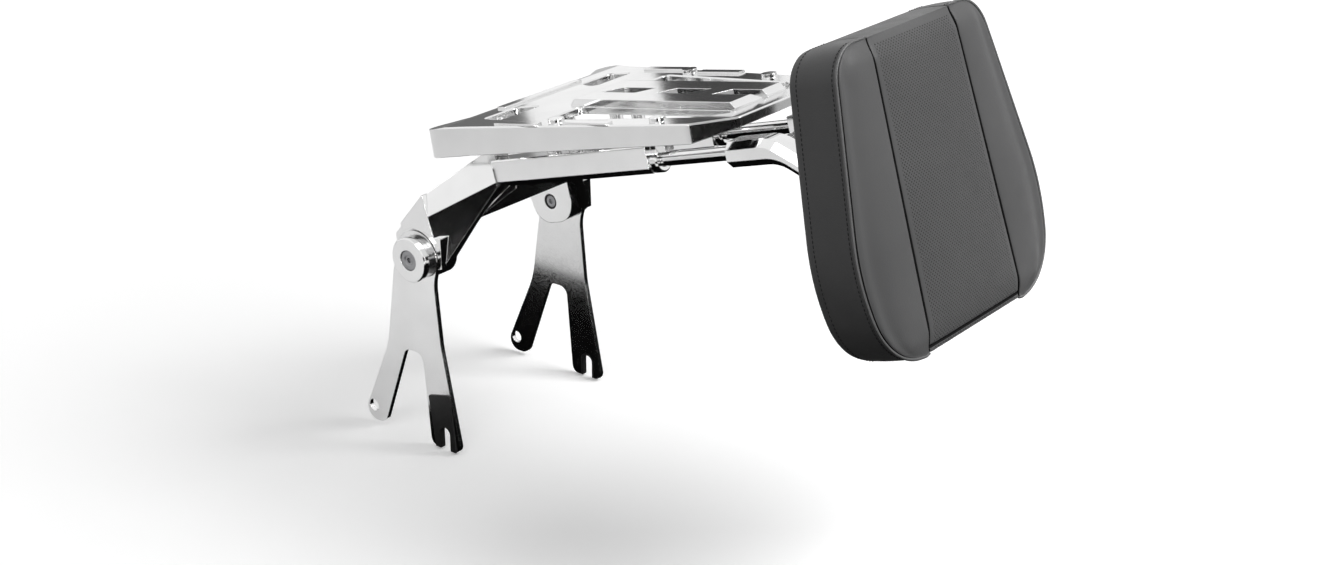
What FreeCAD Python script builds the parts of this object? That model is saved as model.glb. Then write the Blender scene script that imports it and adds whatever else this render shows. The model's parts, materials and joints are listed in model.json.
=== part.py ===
import FreeCAD, Part
import math
import os
import re
import Sketcher
from FreeCAD import Placement, Rotation, Vector

# Flip-over motorcycle backrest with a luggage rack.
# Two docking plates carry a bar that folds on a cross axis. Two rods slide in the bar,
# and a reclined pad tilts on the yoke at their front ends.
# X is forward, Y is to the left, Z is up. The origin is the middle of the rear docking axis.
# "Bar" coordinates start at the fold axis: u runs forward along the rods, w square to them.

SIZES = {
    # fold axis above and ahead of the rear docking axis
    "pivot_x": 91.0,
    "pivot_z": 225.0,
    # docking plates
    "dock_inside": 130.0,
    "plate_thick": 6.0,
    "dock_span": 126.0,
    "dock_hole_r": 8.0,
    "head_r": 33.0,
    "neck_front": 26.0,
    "neck_rear": 42.0,
    "neck_drop": 28.0,
    "crotch_drop": 128.0,
    "crotch_front": 1.0,
    "crotch_rear": 28.0,
    "crotch_round": 12.5,
    "leg_front": 33.0,
    "leg_rear": 58.0,
    "foot_drop": 22.0,
    "eye_half": 19.5,
    "eye_round": 15.0,
    "foot_half": 25.0,
    "foot_round": 10.0,
    # nylon shoes on the front feet
    "shoe_wall": 3.0,
    "shoe_flange": 1.6,
    "shoe_rise": 54.0,
    "shoe_half": 17.0,
    # fold pivot
    "shank_r": 8.0,
    "run_gap": 0.04,
    "seat_gap": 0.1,
    "cap_r": 27.8,
    "cap_disc": 9.0,
    "cap_neck_r": 20.0,
    "cap_neck": 6.0,
    "cap_edge": 1.4,
    "head_seat": 5.0,
    "screw_head_r": 12.5,
    "screw_head": 4.2,
    "screw_dish": 0.8,
    "socket_r": 3.6,
    "socket_deep": 3.4,
    "washer_r": 24.0,
    "washer_thick": 1.0,
    "bush_wall": 2.0,
    # cast arms
    "arm_inside": 104.0,
    "lug_r": 28.0,
    "lug_rear": 37.0,
    "lug_rear_up": 28.0,
    "arm_root": 36.0,
    "arm_top": 75.0,
    "arm_ridge": 48.0,
    "arm_foot": 17.0,
    "toe_root": 8.0,
    "toe_top": 20.0,
    "toe_reach": 48.0,
    "toe_low": 38.0,
    "rim_gap": 2.5,
    "rim_start": 108.5,
    "arm_inset": 1.0,
    "arm_heel": 7.0,
    "arm_bevel": 14.0,
    # cross panel under the rails
    "panel_u": 60.0,
    "panel_w": 28.5,
    "panel_thick": 7.0,
    # rail housings and what closes their front ends
    "bar_tilt": 16.5,
    "rail_y": 58.0,
    "rail_half": 16.0,
    "rail_rear": 98.0,
    "rail_front": 341.0,
    "rail_low": 62.0,
    "rail_high": 95.0,
    "rail_bevel": 7.0,
    "rail_ridge": 69.0,
    "crest_up": 16.0,
    "crest_in": 12.0,
    "crest_root": 8.0,
    "rail_round": 2.5,
    "rail_wall": 8.0,
    "collar_r": 14.5,
    "collar_long": 11.0,
    "collar_round": 2.0,
    "latch_half": 7.0,
    "latch_long": 22.0,
    "latch_gap": 0.8,
    "knob_r": 5.0,
    "knob_high": 5.0,
    "knob_stem_r": 3.0,
    "slide_bush_wall": 1.6,
    "slide_bush_long": 40.0,
    # telescoping rods
    "rod_w": 75.4,
    "rod_r": 7.94,
    "rod_rear": 165.0,
    "rod_front": 500.0,
    "rod_gap": 0.4,
    "detent_r": 3.2,
    "detent_deep": 3.0,
    "detent_last": 373.0,
    "detent_pitch": 21.0,
    "detent_count": 5,
    # yoke at the front of the rods
    "yoke_rear": 452.0,
    "yoke_low": 61.0,
    "yoke_high": 89.5,
    "yoke_bend_low": 515.0,
    "yoke_bend_high": 509.0,
    "yoke_bend_round": 45.0,
    "yoke_bevel": 8.0,
    "web_low": 68.0,
    "web_high": 80.0,
    "web_rear": 489.0,
    "web_horn": 458.0,
    "web_front": 522.0,
    "web_overlap": 4.0,
    "tilt_u": 592.0,
    "tilt_w": 23.6,
    "elbow_drop": 33.0,
    "eye_r": 11.5,
    "pin_r": 6.0,
    "pin_inset": 1.0,
    "grub_r": 3.0,
    "grub_inset": 12.0,
    "grub_pitch": 24.0,
    # pad, in its own lean, from the tilt axis
    "pad_lean": 1.6,
    "pad_back": 14.4,
    "bracket_half": 38.5,
    "bracket_thick": 4.0,
    "bracket_high": 56.0,
    "bracket_round": 8.0,
    "ear_thick": 6.0,
    "ear_foot": 24.0,
    "base_thick": 8.0,
    "base_inset": 9.0,
    "base_gap": 0.3,
    "pad_thick": 70.0,
    "pad_crown": 12.0,
    "pad_top": 156.0,
    "pad_top_half": 133.0,
    "pad_top_round": 42.0,
    "pad_wide_half": 178.0,
    "pad_wide_drop": 62.0,
    "pad_wide_blend": 40.8,
    "pad_bottom": 166.0,
    "pad_bottom_half": 157.0,
    "pad_bottom_blend": 60.55,
    "pad_screw_y": 24.0,
    "pad_screw_z": 42.0,
    "pad_screw_r": 3.0,
    "pad_screw_head_r": 5.5,
    "pad_screw_head": 3.0,
    # luggage rack, in its own slope
    "rack_drop": 6.1,
    "rack_u": 145.0,
    "rack_w": 152.5,
    "rack_rear": 28.0,
    "rack_rear_half": 105.0,
    "rack_horn": 66.0,
    "rack_horn_half": 166.5,
    "rack_horn_toe": 9.0,
    "rack_lip": 21.0,
    "rack_lip_drop": 5.0,
    "rack_break": 1.5,
    "rack_horn_round": 14.0,
    "rack_bend": 6.0,
    "rack_bend_half": 150.0,
    "rack_shoulder": 297.0,
    "rack_shoulder_half": 110.0,
    "rack_front": 339.0,
    "rack_front_half": 74.0,
    "rack_deck": 9.0,
    "rack_skirt_rear": 36.0,
    "rack_skirt_front": 22.0,
    "rack_nose": 10.0,
    "rack_wall": 7.0,
    "rack_rail": 30.0,
    "rack_cross": 92.0,
    "rack_spine": 46.0,
    "rack_nose_bar": 26.0,
    "rack_slot_half": 12.0,
    "rack_crown": 8.0,
    "rack_crown_lead": 16.0,
    "rack_slot_start": 95.0,
    "rack_slot_long": 62.0,
    "rack_slot_pitch": 80.0,
    "rack_slot_slant": 12.0,
    "rack_slot_count": 3,
    "rack_rear_bar": 28.0,
    "rack_rear_slot": 30.0,
    "rack_hole_round": 7.0,
    "strip_half": 6.0,
    "strip_thick": 2.4,
    "strip_long": 62.0,
    "strip_start": 42.0,
    "strip_pitch": 93.0,
    "strip_edge": 8.0,
    "strip_rear_half": 68.0,
    "bumper_r": 9.0,
    "bumper_high": 5.0,
    "bumper_rear": 119.5,
    "bumper_front": 250.0,
    "post_r": 8.0,
    "post_rear": 44.0,
    "post_front": 78.0,
}

doc = FreeCAD.newDocument("backrest")
sheet = doc.addObject("Spreadsheet::Sheet", "Sizes")
for row, (alias, value) in enumerate(SIZES.items(), start=1):
    sheet.set(f"A{row}", alias)
    sheet.set(f"B{row}", str(value))
    sheet.setAlias(f"B{row}", alias)
doc.recompute()

NODES = []


def ref(text):
    """Turn bare size names into references to the sheet."""
    return re.sub(r"[a-z_]+", lambda word: "Sizes." + word[0] if word[0] in SIZES else word[0], text)


def bind(thing, path, text):
    thing.setExpression(path, ref(text))


def keep(thing):
    """List a finished sub-part under its own label."""
    NODES.append(thing)
    return thing


def turned(text):
    return f"cos(({text}) * 1 deg)", f"sin(({text}) * 1 deg)"


def seat_on_dock(node):
    bind(node, "Placement.Base.x", "pivot_x")
    bind(node, "Placement.Base.z", "pivot_z")
    return node


def seat_on_bar(node, u="0", w="0", lean="0"):
    """Put a sub-part modelled in bar coordinates at (u, w), leaning back by a further angle."""
    cos, sin = turned("bar_tilt")
    node.Placement = Placement(Vector(0, 0, 0), Rotation(Vector(0, -1, 0), 1))
    bind(node, "Placement.Rotation.Angle", f"bar_tilt + ({lean})")
    bind(node, "Placement.Base.x", f"pivot_x + ({u}) * {cos} - ({w}) * {sin}")
    bind(node, "Placement.Base.z", f"pivot_z + ({u}) * {sin} + ({w}) * {cos}")
    return node


def mirrored(node, name):
    """The left-hand twin of a right-hand sub-part."""
    twin = doc.addObject("Part::Mirroring", name)
    twin.Label = name
    twin.Source = node
    twin.Normal = Vector(0, 1, 0)
    return keep(twin)


def new_body(name):
    body = doc.addObject("PartDesign::Body", name)
    body.Label = name
    return body


def sketch_on(body, role, shift="0"):
    plane = [item for item in body.Origin.OriginFeatures if item.Role == role][0]
    sketch = body.newObject("Sketcher::SketchObject", body.Name + "_sketch")
    sketch.AttachmentSupport = [(plane, "")]
    sketch.MapMode = "FlatFace"
    bind(sketch, "AttachmentOffset.Base.z", shift)
    return sketch


def fix_point(sketch, geometry, position, across, along):
    for kind, text in (("DistanceX", across), ("DistanceY", along)):
        index = sketch.addConstraint(Sketcher.Constraint(kind, -1, 1, geometry, position, 1.0))
        bind(sketch, f"Constraints[{index}]", text)


def polygon(sketch, points):
    """Closed outline whose corners are tied to the sheet."""
    count = len(points)
    first = sketch.GeometryCount
    spread = [Vector(60 * math.cos(2 * math.pi * i / count), 60 * math.sin(2 * math.pi * i / count), 0)
              for i in range(count)]
    for i in range(count):
        sketch.addGeometry(Part.LineSegment(spread[i], spread[(i + 1) % count]))
    for i in range(count):
        after = first + (i + 1) % count
        sketch.addConstraint(Sketcher.Constraint("Coincident", first + i, 2, after, 1))
    for i, (across, along) in enumerate(points):
        fix_point(sketch, first + i, 1, across, along)
    return sketch


def circle(sketch, across, along, radius):
    index = sketch.addGeometry(Part.Circle(Vector(5, 5, 0), Vector(0, 0, 1), 3.0))
    fix_point(sketch, index, 3, across, along)
    size = sketch.addConstraint(Sketcher.Constraint("Radius", index, 3.0))
    bind(sketch, f"Constraints[{size}]", radius)
    return sketch


def hexagon(radius):
    corners = [math.radians(60 * i) for i in range(6)]
    return [(f"({radius}) * {math.cos(a):.6f}", f"({radius}) * {math.sin(a):.6f}") for a in corners]


def solved(feature):
    """Recompute and stop at the first feature that fails."""
    doc.recompute()
    if "Invalid" in feature.State:
        raise RuntimeError(f"{feature.Label} failed")
    return feature


def pad(body, sketch, length, back=False):
    feature = body.newObject("PartDesign::Pad", body.Name + "_pad")
    feature.Profile = sketch
    feature.Reversed = back
    bind(feature, "Length", length)
    return solved(feature)


def pocket(body, sketch, length, back=False):
    before = body.Shape.Volume
    feature = body.newObject("PartDesign::Pocket", body.Name + "_pocket")
    feature.Profile = sketch
    feature.Reversed = back
    bind(feature, "Length", length)
    solved(feature)
    if body.Shape.Volume > before - 1.0:
        raise RuntimeError(f"{feature.Label} cuts nothing")
    return feature


def lathe(body, sketch, axis="V_Axis"):
    feature = body.newObject("PartDesign::Revolution", body.Name + "_turned")
    feature.Profile = sketch
    feature.ReferenceAxis = (sketch, [axis])
    feature.Angle = 360.0
    return solved(feature)


def edges_at(base, sketch, corners):
    """Edges of a prism that stand on the chosen corners of its sketch."""
    axis = sketch.Placement.Rotation.multVec(Vector(0, 0, 1))
    spots = [sketch.Placement.multVec(sketch.Geometry[i].StartPoint) for i in corners]
    names = []
    for number, edge in enumerate(base.Shape.Edges, start=1):
        if edge.Curve.TypeId != "Part::GeomLine":
            continue
        if abs(abs(edge.Curve.Direction.dot(axis)) - 1) > 1e-6:
            continue
        if any((edge.CenterOfMass - spot).cross(axis).Length < 1e-3 for spot in spots):
            names.append(f"Edge{number}")
    return names


def edges_where(base, test):
    return [f"Edge{number}" for number, edge in enumerate(base.Shape.Edges, start=1) if test(edge)]


def fillet(body, base, names, radius):
    feature = body.newObject("PartDesign::Fillet", body.Name + "_fillet")
    feature.Base = (base, names)
    bind(feature, "Radius", radius)
    return solved(feature)


def chamfer(body, base, names, size):
    feature = body.newObject("PartDesign::Chamfer", body.Name + "_chamfer")
    feature.Base = (base, names)
    bind(feature, "Size", size)
    return solved(feature)


def rounded_pad(body, sketch, length, rounds, back=False):
    """Extrude an outline and round its corners, each set of corners to its own radius."""
    base = pad(body, sketch, length, back)
    for radius, corners in rounds.items():
        base = fillet(body, base, edges_at(base, sketch, corners), radius)
    return base


def rounded_pocket(body, sketch, length, radius, back=False):
    """Cut an outline through and round every corner of the hole."""
    base = pocket(body, sketch, length, back)
    return fillet(body, base, edges_at(base, sketch, range(sketch.GeometryCount)), radius)


def cylinder(name, radius, height, x="0", y="0", z="0", turn=None):
    solid = doc.addObject("Part::Cylinder", name)
    if turn:
        solid.Placement = Placement(Vector(0, 0, 0), turn)
    bind(solid, "Radius", radius)
    bind(solid, "Height", height)
    bind(solid, "Placement.Base.x", x)
    bind(solid, "Placement.Base.y", y)
    bind(solid, "Placement.Base.z", z)
    return solid


def box(name, sizes, x="0", y="0", z="0"):
    solid = doc.addObject("Part::Box", name)
    for path, text in zip(("Length", "Width", "Height"), sizes):
        bind(solid, path, text)
    bind(solid, "Placement.Base.x", x)
    bind(solid, "Placement.Base.y", y)
    bind(solid, "Placement.Base.z", z)
    return solid


def joined(name, parts):
    solid = doc.addObject("Part::MultiFuse", name)
    solid.Label = name
    solid.Shapes = parts
    doc.recompute()
    return solid


def less(name, base, tool):
    solid = doc.addObject("Part::Cut", name)
    solid.Label = name
    solid.Base = base
    solid.Tool = tool
    doc.recompute()
    return solid


def group(name, solids):
    """Identical pieces that stay separate solids in one node."""
    bunch = doc.addObject("Part::Compound", name)
    bunch.Label = name
    bunch.Links = solids
    doc.recompute()
    return keep(bunch)


ALONG_X = Rotation(Vector(0, 1, 0), 90)


def head_corner(reach):
    """Where a line from the neck, tangent to the round head, meets the level of the head's top."""
    lean = f"(atan(neck_drop / {reach}) - acos(head_r / sqrt({reach} * {reach} + neck_drop * neck_drop)))"
    return f"(head_r * (1 + sin{lean}) / cos{lean})"


def build_docking_plate():
    """Forked plate: round head on the fold axis, rear eye, front foot with an open notch."""
    body = new_body("docking_plate_right")
    rear, front, low = "-pivot_x", "dock_span - pivot_x", "-pivot_z"
    toe = f"{low} - foot_drop"
    outline = polygon(sketch_on(body, "XZ_Plane", "dock_inside"), [
        (head_corner("neck_front"), "head_r"),
        ("neck_front", "-neck_drop"),
        ("leg_front", "-crotch_drop + 18"),
        (f"{front} + foot_half", toe),
        (f"{front} - foot_half", toe),
        ("crotch_front", "-crotch_drop"),
        ("-crotch_rear", "-crotch_drop"),
        (f"{rear} + eye_half", f"{low} - eye_half"),
        (f"{rear} - eye_half", f"{low} - eye_half"),
        ("-leg_rear", "-crotch_drop"),
        ("-neck_rear", "-neck_drop"),
        (f"-{head_corner('neck_rear')}", "head_r"),
    ])
    rounded_pad(body, outline, "plate_thick", {
        "head_r - 0.5": (0, 11),
        "neck_drop * 2": (1, 10),
        "crotch_drop": (2, 9),
        "crotch_round": (5, 6),
        "eye_round": (7, 8),
        "foot_round": (3, 4),
    })
    holes = sketch_on(body, "XZ_Plane", "dock_inside")
    circle(holes, rear, low, "dock_hole_r")
    circle(holes, "0", "0", "shank_r + run_gap")
    pocket(body, holes, "plate_thick", back=True)
    notch = polygon(sketch_on(body, "XZ_Plane", "dock_inside"), [
        (f"{front} - dock_hole_r - shoe_wall", f"{toe} - 1"),
        (f"{front} + dock_hole_r + shoe_wall", f"{toe} - 1"),
        (f"{front} + dock_hole_r + shoe_wall", low),
        (f"{front} - dock_hole_r - shoe_wall", low),
    ])
    pocket(body, notch, "plate_thick", back=True)
    arch = circle(sketch_on(body, "XZ_Plane", "dock_inside"), front, low, "dock_hole_r + shoe_wall")
    pocket(body, arch, "plate_thick", back=True)
    keep(seat_on_dock(body))
    mirrored(body, "docking_plate_left")


def build_dock_shoe():
    """Nylon shoe in the front notch, with a flat flange on the plate's outer face."""
    body = new_body("dock_shoe_right")
    front, low = "dock_span - pivot_x", "-pivot_z"
    toe = f"{low} - foot_drop"
    flange = polygon(sketch_on(body, "XZ_Plane", "dock_inside + plate_thick"), [
        (f"{front} - shoe_half", toe),
        (f"{front} + shoe_half", toe),
        (f"{front} + shoe_half - 9", f"{low} + shoe_rise"),
        (f"{front} - shoe_half - 9", f"{low} + shoe_rise - 9"),
    ])
    rounded_pad(body, flange, "shoe_flange", {"shoe_wall": (2, 3)})
    lining = polygon(sketch_on(body, "XZ_Plane", "dock_inside"), [
        (f"{front} - dock_hole_r - shoe_wall", toe),
        (f"{front} + dock_hole_r + shoe_wall", toe),
        (f"{front} + dock_hole_r + shoe_wall", low),
        (f"{front} - dock_hole_r - shoe_wall", low),
    ])
    pad(body, lining, "plate_thick")
    pad(body, circle(sketch_on(body, "XZ_Plane", "dock_inside"), front, low, "dock_hole_r + shoe_wall"),
        "plate_thick")
    deep = "plate_thick + shoe_flange"
    mouth = polygon(sketch_on(body, "XZ_Plane", "dock_inside"), [
        (f"{front} - dock_hole_r", f"{toe} - 1"),
        (f"{front} + dock_hole_r", f"{toe} - 1"),
        (f"{front} + dock_hole_r", low),
        (f"{front} - dock_hole_r", low),
    ])
    pocket(body, mouth, deep, back=True)
    pocket(body, circle(sketch_on(body, "XZ_Plane", "dock_inside"), front, low, "dock_hole_r"), deep, back=True)
    keep(seat_on_dock(body))
    mirrored(body, "dock_shoe_left")


OUTER = "(dock_inside + plate_thick)"
CAP_FACE = f"({OUTER} + cap_neck + cap_disc)"
FLOOR = "(dock_inside - washer_thick - seat_gap)"


def build_pivot():
    """Cap, shoulder screw, thrust washer and bush on the fold axis."""
    cap = new_body("pivot_cap_right")
    lathe(cap, polygon(sketch_on(cap, "XY_Plane"), [
        ("shank_r + run_gap", f"-{OUTER}"),
        ("cap_neck_r", f"-{OUTER}"),
        ("cap_neck_r", f"-{OUTER} - cap_neck"),
        ("cap_r - cap_edge", f"-{OUTER} - cap_neck"),
        ("cap_r", f"-{OUTER} - cap_neck - cap_edge"),
        ("cap_r", f"-{CAP_FACE} + cap_edge"),
        ("cap_r - cap_edge", f"-{CAP_FACE}"),
        ("screw_head_r + seat_gap * 3", f"-{CAP_FACE}"),
        ("screw_head_r + seat_gap * 3", f"-{CAP_FACE} + head_seat"),
        ("shank_r + run_gap", f"-{CAP_FACE} + head_seat"),
    ]))
    keep(seat_on_dock(cap))
    mirrored(cap, "pivot_cap_left")

    screw = new_body("pivot_screw_right")
    seat = f"-{CAP_FACE} + head_seat"
    lathe(screw, polygon(sketch_on(screw, "XY_Plane"), [
        ("0", "-arm_inside - screw_dish"),
        ("shank_r - screw_dish", "-arm_inside - screw_dish"),
        ("shank_r", "-arm_inside - screw_dish * 2"),
        ("shank_r", seat),
        ("screw_head_r", seat),
        ("screw_head_r", f"{seat} - screw_head + screw_dish"),
        ("screw_head_r - screw_dish", f"{seat} - screw_head"),
        ("socket_r * 2", f"{seat} - screw_head"),
        ("socket_r * 1.5", f"{seat} - screw_head + screw_dish"),
        ("0", f"{seat} - screw_head + screw_dish"),
    ]))
    socket = polygon(sketch_on(screw, "XZ_Plane", f"-({seat}) + screw_head"), hexagon("socket_r"))
    pocket(screw, socket, "socket_deep")
    tail = polygon(sketch_on(screw, "XZ_Plane", "arm_inside"), hexagon("socket_r"))
    pocket(screw, tail, "socket_deep", back=True)
    keep(seat_on_dock(screw))
    mirrored(screw, "pivot_screw_left")

    washer = new_body("pivot_washer_right")
    lathe(washer, polygon(sketch_on(washer, "XY_Plane"), [
        ("shank_r + run_gap", "-dock_inside"),
        ("washer_r", "-dock_inside"),
        ("washer_r", "-dock_inside + washer_thick"),
        ("shank_r + run_gap", "-dock_inside + washer_thick"),
    ]))
    keep(seat_on_dock(washer))
    mirrored(washer, "pivot_washer_left")

    bush = new_body("pivot_bush_right")
    lathe(bush, polygon(sketch_on(bush, "XY_Plane"), [
        ("shank_r + run_gap", "-arm_inside"),
        ("shank_r + bush_wall", "-arm_inside"),
        ("shank_r + bush_wall", f"-{FLOOR}"),
        ("shank_r + run_gap", f"-{FLOOR}"),
    ]))
    keep(seat_on_bar(bush))
    mirrored(bush, "pivot_bush_left")


def build_arm():
    """Faceted casting from the fold axis up and inward to the rail, with a rim round the plate head."""
    body = new_body("arm_right")
    lug = polygon(sketch_on(body, "XZ_Plane", "arm_inside"), [
        ("-lug_rear", "lug_rear_up"),
        ("arm_root", "arm_top"),
        ("arm_root", "-lug_r"),
        ("-lug_r", "-lug_r"),
    ])
    rounded_pad(body, lug, f"{OUTER} - arm_inside", {"lug_r - 2": (3,), "lug_r + 1": (2,), "lug_r / 3": (0,)})
    toe = polygon(sketch_on(body, "XZ_Plane", "arm_inside + arm_bevel"), [
        ("arm_root - toe_root", "toe_top + 2"),
        ("toe_reach", "toe_top"),
        ("toe_low", "-arm_foot"),
        ("arm_root - toe_root", "-arm_foot"),
    ])
    pad(body, toe, f"{OUTER} - arm_inside - arm_bevel")

    section = [
        (f"-{OUTER} + crest_root", "arm_top"),
        (f"-{OUTER}", "arm_ridge"),
        (f"-{OUTER} + 4", "-arm_foot"),
        ("-arm_inside - arm_bevel", "-arm_foot"),
        ("-arm_inside", "arm_heel"),
        ("-arm_inside", "arm_top"),
    ]
    heel = section[2:5] + [("-arm_inside", "toe_top"), (f"-{OUTER} + 4", "toe_top")]
    pad(body, polygon(sketch_on(body, "YZ_Plane", "arm_root - toe_root"), heel), "toe_root")
    beam = body.newObject("PartDesign::AdditiveLoft", "arm_right_beam")
    beam.Profile = polygon(sketch_on(body, "YZ_Plane", "arm_root"), section)
    outside, inside = "-rail_y - rail_half + arm_inset", "-rail_y + rail_half - arm_inset"
    beam.Sections = [polygon(sketch_on(body, "YZ_Plane", "rail_rear"), [
        (f"{outside} + crest_in", "rail_high + crest_up"),
        (outside, "rail_ridge"),
        (outside, "rail_low + arm_inset"),
        (f"{outside} + rail_round * 2", "rail_low + arm_inset"),
        (inside, "rail_low + arm_inset"),
        (inside, "rail_high + crest_up"),
    ])]
    beam.Ruled = True
    doc.recompute()

    recess = circle(sketch_on(body, "XZ_Plane", OUTER), "0", "0", "head_r + rim_gap")
    pocket(body, recess, f"{OUTER} - {FLOOR}")
    cos, sin = turned("rim_start")
    reach = "(lug_rear + arm_top)"
    relief = polygon(sketch_on(body, "XZ_Plane", OUTER), [
        ("0", "0"),
        (f"{reach} * {cos}", f"{reach} * {sin}"),
        (f"-{reach}", f"{reach} * {sin}"),
        (f"-{reach}", f"-{reach}"),
        (f"{reach}", f"-{reach}"),
        (f"{reach}", "-arm_foot - 2"),
        ("head_r - 5", "-arm_foot - 2"),
    ])
    pocket(body, relief, f"{OUTER} - {FLOOR}")
    bore = circle(sketch_on(body, "XZ_Plane", OUTER), "0", "0", "shank_r + bush_wall")
    pocket(body, bore, f"{OUTER} - arm_inside")
    keep(seat_on_bar(body))
    mirrored(body, "arm_left")


def build_cross_panel():
    """Slanted plate that ties the two arms together below the rails, seated on their inner faces."""
    body = new_body("cross_panel")
    rise = polygon(sketch_on(body, "XZ_Plane", "-arm_inside"), [
        ("panel_u", "panel_w"),
        ("rail_rear + panel_thick * 2", "rail_low"),
        ("rail_rear", "rail_low"),
        ("panel_u - panel_thick", "panel_w + panel_thick * 0.7"),
    ])
    pad(body, rise, "arm_inside * 2")
    for sign in ("-", ""):
        seat, end = f"{sign}(rail_y - rail_half + arm_inset)", "rail_rear + panel_thick * 3"
        beside = polygon(sketch_on(body, "XY_Plane"), [
            ("arm_root", f"{sign}(arm_inside)"),
            ("rail_rear", seat),
            (end, seat),
            (end, f"{sign}(arm_inside + 1)"),
            ("arm_root", f"{sign}(arm_inside + 1)"),
        ])
        pocket(body, beside, "rail_low + 1", back=True)
    keep(seat_on_bar(body))


def build_housing():
    """Rail housing: flat sides, bevelled lower edge, blind bore for the rod."""
    body = new_body("housing_right")
    out, into = "-rail_y - rail_half", "-rail_y + rail_half"
    section = polygon(sketch_on(body, "YZ_Plane", "rail_rear"), [
        (out, "rail_high"),
        (into, "rail_high"),
        (into, "rail_low"),
        (f"{out} + rail_bevel", "rail_low"),
        (out, "rail_low + rail_bevel"),
    ])
    rounded_pad(body, section, "rail_front - rail_rear", {"rail_round": (0, 1, 2)})
    bore = circle(sketch_on(body, "YZ_Plane", "rail_front"), "-rail_y", "rod_w",
                  "rod_r + run_gap + slide_bush_wall")
    pocket(body, bore, "rail_front - rail_rear - rail_wall")
    keep(seat_on_bar(body))
    mirrored(body, "housing_left")

    bush = new_body("slide_bush_right")
    ring = sketch_on(bush, "YZ_Plane", "rail_front - slide_bush_long")
    circle(ring, "-rail_y", "rod_w", "rod_r + run_gap + slide_bush_wall")
    circle(ring, "-rail_y", "rod_w", "rod_r + run_gap")
    pad(bush, ring, "slide_bush_long")
    keep(seat_on_bar(bush))
    mirrored(bush, "slide_bush_left")


def build_collar():
    """End collar on the housing, with the flat latch block and its pull knob on top."""
    body = new_body("housing_collar_right")
    disc = circle(sketch_on(body, "YZ_Plane", "rail_front"), "-rail_y", "rod_w", "collar_r")
    base = pad(body, disc, "collar_long")
    front = edges_where(base, lambda edge: edge.BoundBox.XMin > base.Shape.BoundBox.XMax - 0.01)
    chamfer(body, base, front, "collar_round")
    latch = polygon(sketch_on(body, "YZ_Plane", "rail_front"), [
        ("-rail_y - latch_half", "rod_w + rod_r + latch_gap"),
        ("-rail_y + latch_half", "rod_w + rod_r + latch_gap"),
        ("-rail_y + latch_half", "rail_high - 1"),
        ("-rail_y - latch_half", "rail_high - 1"),
    ])
    rounded_pad(body, latch, "latch_long", {"collar_round / 2": (2, 3)})
    pocket(body, circle(sketch_on(body, "YZ_Plane", "rail_front + collar_long"), "-rail_y", "rod_w",
                        "rod_r + rod_gap"), "collar_long")
    stem = circle(sketch_on(body, "XY_Plane", "rail_high"), "rail_front + latch_long / 2", "-rail_y",
                  "knob_stem_r + run_gap * 2")
    pocket(body, stem, "rail_high - rod_w")
    keep(seat_on_bar(body))
    mirrored(body, "housing_collar_left")

    knob = new_body("latch_knob_right")
    top = "rail_high - 1 + seat_gap"
    lathe(knob, polygon(sketch_on(knob, "XZ_Plane"), [
        ("0", "rod_w + rod_r + latch_gap"),
        ("knob_stem_r", "rod_w + rod_r + latch_gap"),
        ("knob_stem_r", top),
        ("knob_r", top),
        ("knob_r", f"{top} + knob_high - 1.2"),
        ("knob_r - 1.2", f"{top} + knob_high"),
        ("0", f"{top} + knob_high"),
    ]))
    seat_on_bar(knob, "rail_front + latch_long / 2")
    bind(knob, "Placement.Base.y", "-rail_y")
    keep(knob)
    mirrored(knob, "latch_knob_left")


def build_rod():
    """Round rod with a row of detent holes along its top."""
    body = new_body("rod_right")
    base = pad(body, circle(sketch_on(body, "YZ_Plane", "rod_rear"), "-rail_y", "rod_w", "rod_r"),
               "rod_front - rod_rear")
    chamfer(body, base, edges_where(base, lambda edge: edge.BoundBox.XLength < 0.01), "rod_r / 8")
    dimple = circle(sketch_on(body, "XY_Plane", "rod_w + rod_r"), "detent_last", "-rail_y", "detent_r")
    cut = pocket(body, dimple, "detent_deep")
    row = body.newObject("PartDesign::LinearPattern", "rod_right_detents")
    row.Originals = [cut]
    row.Direction = (dimple, ["H_Axis"])
    row.Reversed = True
    bind(row, "Length", "detent_pitch * (detent_count - 1)")
    bind(row, "Occurrences", "detent_count")
    body.Tip = row
    doc.recompute()
    keep(seat_on_bar(body))
    mirrored(body, "rod_left")


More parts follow.
